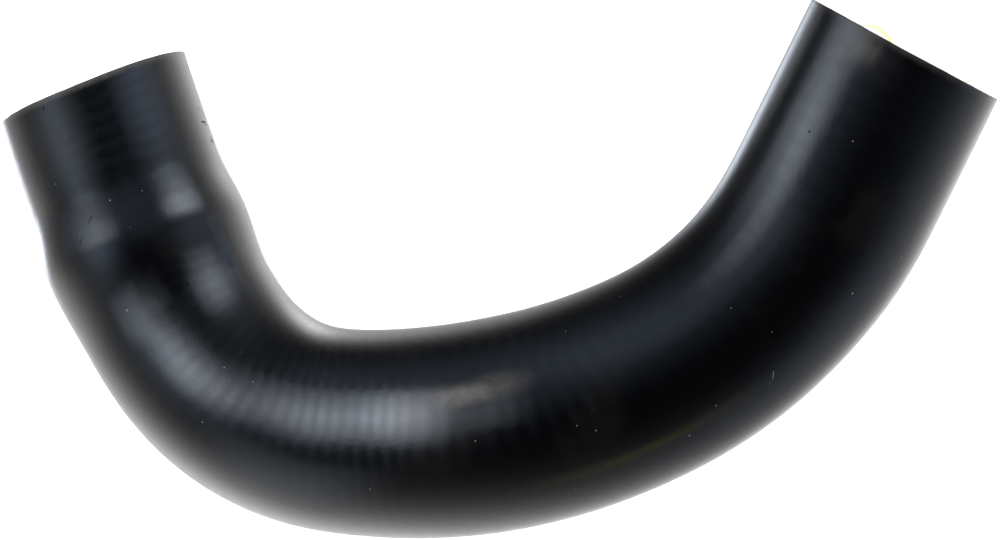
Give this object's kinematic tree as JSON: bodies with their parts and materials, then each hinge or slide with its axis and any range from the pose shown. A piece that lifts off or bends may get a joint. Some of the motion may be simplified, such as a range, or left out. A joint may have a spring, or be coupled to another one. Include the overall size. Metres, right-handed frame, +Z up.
{
  "type": "charge air hose",
  "caption": "Moulded black rubber air duct with a wide U-shaped sweep, open at both cut ends, that joins two pipe spigots in an engine bay.",
  "frame": {"origin": "on the surface the hose lies on, under the middle of its bounding box", "axes": "+X across the two arms, from the small end's arm to the large end's arm; +Y in the plane of the bends, towards the two open ends; +Z up, square to the plane of the bends"},
  "size_m": [0.3038, 0.1634, 0.065],
  "materials": {
    "rubber": "satin black cured rubber with a faint cloth-wrap mark and pale dust",
    "reinforcement_yarn": "yellow reinforcement yarn, matt, frayed where the knife cut it"
  },
  "bodies": {
    "root": {"hose": "rubber"}
  },
  "joints": []
}
